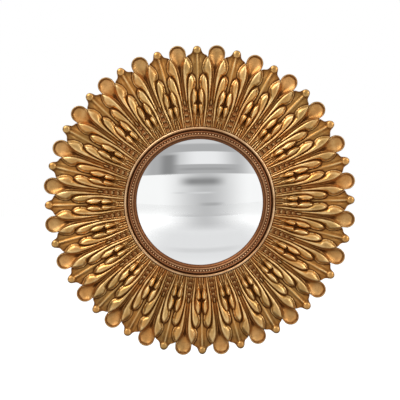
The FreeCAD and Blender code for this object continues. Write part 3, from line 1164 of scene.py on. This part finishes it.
@dataclass
class ConvexGlass:
    """A dished sheet of glass, silvered behind."""

    radius: float = 158.5
    wall: float = 3.0
    front_r: float = 581.96
    centre_h: float = -530.63  # of the sphere that the front lies on
    rings: int = 48
    steps: int = 192

    def build(self) -> bpy.types.Object:
        """Spins the sheet from its section.

        Returns:
            The closed sheet.
        """
        deselect_all()
        bpy.ops.mesh.primitive_grid_add(x_subdivisions=self.rings, y_subdivisions=1, size=2.0)
        glass = named_primitive("mirror_glass")
        for vertex in glass.data.vertices:
            share = (vertex.co.x + 1) / 2
            r = self.radius * share
            dome = self.front_r if vertex.co.y > 0 else self.front_r - self.wall
            h = self.centre_h + math.sqrt(dome**2 - r**2)
            vertex.co = (r * MM, -h * MM, 0.0)
        bpy.ops.object.mode_set(mode="EDIT")
        bpy.ops.mesh.select_all(action="SELECT")
        bpy.ops.mesh.delete(type="ONLY_FACE")
        self.drop_inner_edge(glass)
        bpy.ops.mesh.select_all(action="SELECT")
        bpy.ops.mesh.spin(steps=self.steps, angle=math.tau, center=(0, 0, 0), axis=(0, 1, 0))
        bpy.ops.mesh.select_all(action="SELECT")
        bpy.ops.mesh.remove_doubles(threshold=MERGE)
        bpy.ops.object.mode_set(mode="OBJECT")
        return settle(glass, Shading.CRISP)

    def drop_inner_edge(self, glass: bpy.types.Object) -> None:
        """Deletes the section's cross lines, but for the one that makes the rim.

        Args:
            glass: The section, in edit mode.
        """
        shape = bmesh.from_edit_mesh(glass.data)
        cross = []
        for edge in shape.edges:
            a, b = (math.hypot(vertex.co.x, vertex.co.z) for vertex in edge.verts)
            if abs(a - b) < 1e-7 and a < (self.radius - 0.5) * MM:
                cross.append(edge)
        bmesh.ops.delete(shape, geom=cross, context="EDGES")
        bmesh.update_edit_mesh(glass.data)


# --------------------------------------------------------------------- rear and hardware


@dataclass
class WirePiece:
    """A D-ring of round wire: a straight bar closed by a round hoop, hanging from its bar."""

    name: str
    x: float
    z: float = 172.0
    bar_h: float = 5.3
    wire_r: float = 1.3
    ring_r: float = 10.0

    def build(self) -> bpy.types.Object:
        """Makes a hoop of wire and flattens its upper half into the bar.

        Returns:
            The ring as one closed mesh.
        """
        deselect_all()
        bpy.ops.mesh.primitive_torus_add(
            major_segments=48,
            minor_segments=14,
            major_radius=self.ring_r * MM,
            minor_radius=self.wire_r * MM,
            rotation=(math.pi / 2, 0.0, 0.0),
            location=(self.x * MM, -self.bar_h * MM, self.z * MM),
        )
        hoop = named_primitive(self.name)
        bpy.ops.object.transform_apply(location=True, rotation=True, scale=True)
        for vertex in hoop.data.vertices:
            up = vertex.co.z - self.z * MM
            if up > 0:
                across = vertex.co.x - self.x * MM
                reach = math.hypot(across, up)
                vertex.co.z = self.z * MM + (reach - self.ring_r * MM)
                vertex.co.x = self.x * MM + across / max(reach, 1e-9) * (self.ring_r * MM)
        return settle(hoop, Shading.SOFT)


@dataclass
class SmallScrew:
    """A pan-headed wood screw with a cross recess, seen from behind the mirror."""

    name: str
    x: float
    z: float
    seat_h: float
    head_r: float = 3.1
    head_wall: float = 1.5
    edge: float = 0.55
    slot_size: tuple[float, float, float] = (3.4, 0.9, 0.7)
    shank_r: float = 1.45
    shank_length: float = 7.0
    shank_middle: float = 3.2  # from the head's seat into the wood

    def rod(self, name: str, sides: int, radius: float, length: float, h: float) -> bpy.types.Object:
        """A round rod on the screw's axis, square to the wall.

        Args:
            name: The rod's name.
            sides: Number of its sides.
            radius: Its radius.
            length: Its length.
            h: Depth of its middle.

        Returns:
            The rod.
        """
        deselect_all()
        bpy.ops.mesh.primitive_cylinder_add(
            vertices=sides,
            radius=radius * MM,
            depth=length * MM,
            rotation=(math.pi / 2, 0.0, 0.0),
            location=(self.x * MM, -h * MM, self.z * MM),
        )
        return named_primitive(name)

    def build(self) -> bpy.types.Object:
        """Turns the head and cuts its recess.

        Returns:
            The screw's head on a short shank.
        """
        middle = self.seat_h - self.head_wall / 2
        head = self.rod(self.name, 32, self.head_r, self.head_wall, middle)
        bpy.ops.object.transform_apply(location=True, rotation=True, scale=True)
        bevelled(head, self.edge * MM, 4)
        size = [side * MM for side in self.slot_size]
        low = self.seat_h - self.head_wall
        for turn in (45.0, 135.0):
            deselect_all()
            bpy.ops.mesh.primitive_cube_add(size=1.0)
            slot = named_primitive(f"{self.name}_slot_{turn:.0f}")
            slot.data.transform(Matrix.Diagonal((*size, 1.0)))
            slot.data.transform(turned(turn))
            slot.data.transform(Matrix.Translation((self.x * MM, -low * MM, self.z * MM)))
            make_active(head)
            cut = head.modifiers.new("cross", "BOOLEAN")
            cut.object = slot
            cut.solver = "EXACT"
            bpy.ops.object.modifier_apply(modifier=cut.name)
            bpy.data.objects.remove(slot)
        middle = self.seat_h + self.shank_middle
        shank = self.rod(f"{self.name}_shank", 20, self.shank_r, self.shank_length, middle)
        return settle(joined(self.name, [head, shank]), Shading.CRISP)


@dataclass
class RubberPad:
    """A square rubber pad with rounded edges and a shallow dish on its wall side."""

    name: str
    x: float
    z: float
    side: float = 20.0
    height: float = 8.0
    edge: float = 0.9
    rim: float = 3.2  # round the dish
    dish_wall: float = 1.2
    dish_depth: float = 1.0

    def build(self) -> bpy.types.Object:
        """Shapes the pad.

        Returns:
            The pad.
        """
        deselect_all()
        place = (self.x * MM, -self.height / 2 * MM, self.z * MM)
        bpy.ops.mesh.primitive_cube_add(size=1.0, location=place)
        pad = named_primitive(self.name)
        pad.scale = (self.side * MM, self.height * MM, self.side * MM)
        bpy.ops.object.transform_apply(location=True, rotation=True, scale=True)
        bpy.ops.object.mode_set(mode="EDIT")
        bpy.ops.mesh.select_all(action="DESELECT")
        shape = bmesh.from_edit_mesh(pad.data)
        for face in shape.faces:
            face.select_set(face.normal.y > 0.9)
        bmesh.update_edit_mesh(pad.data)
        bpy.ops.mesh.inset(thickness=self.rim * MM)
        bpy.ops.mesh.inset(thickness=self.dish_wall * MM, depth=-self.dish_depth * MM)
        bpy.ops.object.mode_set(mode="OBJECT")
        bevelled(pad, self.edge * MM, 3)
        return settle(pad, Shading.CRISP)


# --------------------------------------------------------------------- the whole mirror


@dataclass
class Rear:
    """Everything behind the crown: CAD nodes with their finishes, and small new pieces."""

    button_r: float = 176.0
    hanger_x: float = 165.0
    hanger_z: float = 172.0
    strap_drop: float = 30.0
    pad_x: float = 135.0
    pad_z: float = 234.0
    button_seat: float = 6.4  # where the screws' heads lie, from the wall
    strap_seat: float = 7.0

    def build(self) -> None:
        """Builds and dresses the rear."""
        metal = {"metallic": 1.0, "stretch": 0.1}
        wood = PlainFinish("fibreboard", (0.42, 0.28, 0.16), (0.24, 0.15, 0.08), 0.72, grain_scale=700.0)
        board = PlainFinish("hardboard", (0.20, 0.115, 0.06), (0.11, 0.06, 0.03), 0.6, grain_scale=900.0)
        foam = PlainFinish("foam", (0.55, 0.55, 0.54), (0.38, 0.38, 0.37), 0.9, grain_scale=1600.0)
        zinc = PlainFinish("zinc", (0.62, 0.62, 0.60), (0.42, 0.42, 0.41), 0.32, **metal)
        brass = PlainFinish("brass", (0.78, 0.56, 0.25), (0.50, 0.33, 0.13), 0.34, **metal)
        rubber = PlainFinish("rubber", (0.030,) * 3, (0.014,) * 3, 0.68, grain_scale=1200.0)
        zinc_look, brass_look = zinc.material(), brass.material()
        looks = {
            "back_ring": wood.material(),
            "backing_board": board.material(),
            "foam_pads": foam.material(),
            "hanger_strap_left": zinc_look,
            "hanger_strap_right": zinc_look,
        }
        for number in range(1, 5):
            looks[f"turn_button_{number}"] = brass_look
        for node, look in looks.items():
            dress(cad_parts[node], look)
            LOG.info("dressed %s", node)
        self.rings(zinc_look)
        self.screws(zinc_look)
        self.pads(rubber.material())

    def rings(self, look: bpy.types.Material) -> None:
        """Bends the two D-rings."""
        for side, x in (("left", -self.hanger_x), ("right", self.hanger_x)):
            ring = WirePiece(f"wire_ring_{side}", x, self.hanger_z).build()
            finish_piece(ring, look, f"d_ring_{side}", f"d_ring_{side}")

    def screws(self, look: bpy.types.Material) -> None:
        """Sets the pivot screws of the turn buttons and the screws of the straps."""
        for number in range(4):
            angle = math.radians(45.0 + 90.0 * number)
            x, z = self.button_r * math.sin(angle), self.button_r * math.cos(angle)
            screw = SmallScrew(f"button_screw_{number + 1}", x, z, self.button_seat).build()
            finish_piece(screw, look, BODY)
        for side, x in (("left", -self.hanger_x), ("right", self.hanger_x)):
            z = self.hanger_z - self.strap_drop
            screw = SmallScrew(f"strap_screw_{side}", x, z, self.strap_seat).build()
            finish_piece(screw, look, BODY)

    def pads(self, look: bpy.types.Material) -> None:
        """Moulds the four rubber pads."""
        number = 0
        for x in (-self.pad_x, self.pad_x):
            for z in (-self.pad_z, self.pad_z):
                number += 1
                pad = RubberPad(f"rubber_pad_{number}", x, z).build()
                finish_piece(pad, look, BODY, "wall_bumpers")


def finish_piece(
    piece: bpy.types.Object, look: bpy.types.Material, body: str, node: str | None = None
) -> None:
    """Dresses a new piece, makes it ride on its body and hides the CAD node that it stands for.

    Args:
        piece: The finished piece.
        look: Its material.
        body: The CAD body that it moves with.
        node: The CAD node that it replaces, if any.
    """
    dress(piece, look)
    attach(piece, body)
    if node:
        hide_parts(node)
    LOG.info("built %s: %d faces", piece.name, len(piece.data.polygons))


@dataclass
class Front:
    """The crown, the sight ring and the glass."""

    def build(self) -> None:
        """Builds and dresses the front."""
        gilt = GiltFinish("gilt_carving").material()
        for sector in CarvedCrown().build():
            finish_piece(sector, gilt, BODY, "leaf_crown")
        moulding = GiltFinish(
            "gilt_moulding",
            leaf=(0.45, 0.200, 0.068),
            olive=(0.37, 0.185, 0.070),
            # painted highlight colour
            highlight_gold=(0.88, 0.60, 0.34),
            clay=(0.31, 0.100, 0.046),
            # painted shade with grime
            dirt_and_shade=(0.080, 0.025, 0.005),
            roughness=0.30,
        ).material()
        for piece in SightRing().build():
            finish_piece(piece, moulding, BODY, "sight_ring")
        silvered = SilveredGlass().material()
        finish_piece(ConvexGlass().build(), silvered, BODY, "convex_glass")


# ------------------------------------------------------------------------------- stage


@dataclass
class Studio:
    """Camera, lights, pale floor and the soft cards that the glass reflects."""

    distance: float = 2.0
    elevation: float = 5.6
    roll: float = -1.0
    aim: Place = (0.0008, -0.036, 0.0065)
    lens: float = 75.05
    floor_z: float = -0.72
    floor_side: float = 12.0
    fill: float = 0.55  # the world's strength on the object
    floor_seen: float = 0.62  # how much the floor glows for the camera
    floor_in_glass: float = 0.45  # and for reflections
    card_gap: float = 0.005  # between the floor and the lowest card

    def build(self) -> None:
        """Sets up the whole stage."""
        self.camera()
        self.world()
        self.floor()
        self.lamp("key", (-1.5, -1.9, 2.2), 46.0, 1.6)
        self.lamp("side", (2.2, -1.7, 0.9), 15.0, 1.0)
        self.cards()
        bpy.context.scene.view_settings.view_transform = "Standard"

    def camera(self) -> None:
        """Places the camera as it stood for the photograph."""
        lift = math.radians(self.elevation)
        aim = Vector(self.aim)
        data = bpy.data.cameras.new("camera")
        data.lens = self.lens
        data.sensor_width = 36.0
        camera = bpy.data.objects.new("camera", data)
        bpy.context.scene.collection.objects.link(camera)
        camera.location = aim + self.distance * Vector((0.0, -math.cos(lift), math.sin(lift)))
        turn = (aim - camera.location).to_track_quat("-Z", "Y").to_matrix().to_4x4()
        turn = turn @ Matrix.Rotation(math.radians(self.roll), 4, "Z")
        camera.rotation_euler = turn.to_euler()
        bpy.context.scene.camera = camera

    def world(self) -> None:
        """White for camera and reflections, a soft even light for the rest."""
        world = bpy.data.worlds.new("studio")
        bpy.context.scene.world = world
        world.use_nodes = True
        tree = Tree(world.node_tree)
        world.node_tree.nodes.clear()
        path = tree.node("LightPath")
        seen = tree.maths("MAXIMUM", path.outputs["Is Camera Ray"], path.outputs["Is Glossy Ray"])
        seen = tree.maths("MAXIMUM", seen, path.outputs["Is Transmission Ray"])
        strength = tree.spread(seen, self.fill, 1.0)
        sky = tree.feed(tree.node("Background"), Color=(1.0, 1.0, 1.0, 1.0), Strength=strength)
        tree.link(sky.outputs[0], tree.node("OutputWorld").inputs[0])

    def floor(self) -> None:
        """A plain pale floor under the hanging mirror."""
        deselect_all()
        bpy.ops.mesh.primitive_plane_add(size=self.floor_side, location=(0.0, 0.0, self.floor_z))
        floor = named_primitive("floor")
        material, tree, shader = start_material("pale_floor")
        patches = tree.group(MOTTLE, Scale=3.0, Low=0.3, High=0.7).outputs[0]
        colour = tree.blend(patches, (0.82, 0.82, 0.82), (0.80, 0.80, 0.80))
        tree.feed(shader, Base_Color=colour, Roughness=0.9)
        path = tree.node("LightPath")
        seen = tree.maths("MAXIMUM", path.outputs["Is Camera Ray"], path.outputs["Is Transmission Ray"])
        glow = tree.blend(seen, (0.0, 0.0, 0.0), (self.floor_seen,) * 3)
        glow = tree.blend(path.outputs["Is Glossy Ray"], glow, (self.floor_in_glass,) * 3)
        tree.feed(shader, Emission_Color=glow, Emission_Strength=1.0)
        dress(floor, material)

    def lamp(self, name: str, place: Place, power: float, size: float) -> None:
        """Adds a soft lamp that faces the mirror.

        Args:
            name: The lamp's name.
            place: Where it stands.
            power: Its power in watts.
            size: The side of its square.
        """
        data = bpy.data.lights.new(name, "AREA")
        data.energy = power
        data.size = size
        lamp = bpy.data.objects.new(name, data)
        lamp.location = place
        lamp.rotation_euler = (-Vector(place)).to_track_quat("-Z", "Y").to_euler()
        bpy.context.scene.collection.objects.link(lamp)

    def cards(self) -> None:
        """Soft grey cards of a room, seen only in reflections."""
        low = self.floor_z + self.card_gap
        for card in (
            Card("room_grey", (-0.20, -3.0, 1.60), (5.2, 2.03), 0.44, (0.48, 0.97)),
            Card("room_cap", (0.0, -2.99, 2.0), (2.6, 0.86), 0.66, (0.4, 0.8)),
            Card("window", (0.20, -2.98, 1.11), (2.7, 0.46), 0.88, (0.15, 0.85)),
            Card("window_edge", (-0.98, -2.97, 0.92), (0.85, 0.72), 0.27, (0.10, 0.75)),
            Card("window_sill", (0.20, -2.96, 0.74), (2.2, 0.12), 0.36, (0.40, 0.20)),
            Card("column", (0.20, -2.99, -0.05), (3.0, 1.36), 0.54, (0.0, 0.95)),
            Card("column_dark", (0.08, -2.98, 0.36), (1.7, 0.40), 0.27, (0.30, 0.05)),
            Card("column_light", (-0.15, -2.97, 0.02), (1.6, 0.08), 0.68, (0.40, 0.30)),
            Card("column_low", (0.35, -2.97, -0.33), (1.0, 0.16), 0.42, (0.10, 0.10)),
            Card("column_foot", (0.15, -2.45, low), (2.6, 2.3), 0.58, (0.0, 0.45), flat=True),
            Card("floor_grey", (0.10, -1.20, low + 0.001), (3.0, 2.2), 0.80, (0.35, 0.25), flat=True),
            Card("floor_line", (0.05, -1.0, low + 0.002), (1.3, 0.20), 0.70, (0.30, 0.10), flat=True),
            Card("flag_left", (-3.0, -1.0, 0.6), (3.0, 2.4), 0.10, (0.80, 0.80), side=True),
            Card("flag_right", (3.0, -1.0, 0.2), (3.0, 2.6), 0.07, (0.80, 0.80), side=True),
            Card("flag_low", (0.0, -0.1, low), (3.4, 1.1), 0.12, (0.85, 0.70), flat=True),
        ):
            card.build()


COOLER = 1.01  # blue of a card against its red and green


@dataclass(frozen=True)
class Card:
    """A card with soft edges, upright in front of the mirror, flat on the floor or at its side."""

    name: str
    place: Place
    size: tuple[float, float]
    level: float
    soft: tuple[float, float]  # where its fading starts, as a share of half its width and height
    flat: bool = False
    side: bool = False

    def build(self) -> None:
        """Makes the card, which only reflections see."""
        deselect_all()
        upright = 0.0 if self.flat else math.pi / 2
        aside = math.pi / 2 if self.side else 0.0
        bpy.ops.mesh.primitive_plane_add(size=2.0, rotation=(upright, 0.0, aside), location=self.place)
        card = named_primitive(self.name)
        card.scale = (self.size[0] / 2, self.size[1] / 2, 1.0)
        dress(card, self.material())
        card.visible_camera = False
        card.visible_diffuse = False
        card.visible_shadow = False

    def material(self) -> bpy.types.Material:
        """A plain glow that fades out towards the card's edges.

        Returns:
            The material.
        """
        material = bpy.data.materials.new(self.name)
        material.use_nodes = True
        tree = Tree(material.node_tree)
        material.node_tree.nodes.clear()
        along = tree.node("SeparateXYZ")
        tree.link(tree.object_place(), along.inputs[0])
        masks = []
        for axis, start in enumerate(self.soft):
            away = tree.maths("ABSOLUTE", along.outputs[axis], 0.0)
            fade = tree.node("MapRange", interpolation_type="SMOOTHSTEP")
            tree.feed(fade, Value=away, From_Min=start, From_Max=1.0, To_Min=1.0, To_Max=0.0)
            masks.append(fade.outputs[0])
        shown = tree.times(masks[0], masks[1])
        colour = (self.level, self.level, self.level * COOLER, 1.0)
        glow = tree.feed(tree.node("Emission"), Color=colour, Strength=1.0)
        mix = tree.node("MixShader")
        parts = (shown, tree.node("BsdfTransparent").outputs[0], glow.outputs[0])
        for part, target in zip(parts, mix.inputs):
            tree.link(part, target)
        tree.link(mix.outputs[0], tree.node("OutputMaterial").inputs[0])
        return material


def main() -> None:
    """Builds the mirror and its stage."""
    logging.basicConfig(level=logging.INFO, format="%(message)s")
    Front().build()
    Rear().build()
    Studio().build()


if __name__ == "__main__":
    main()
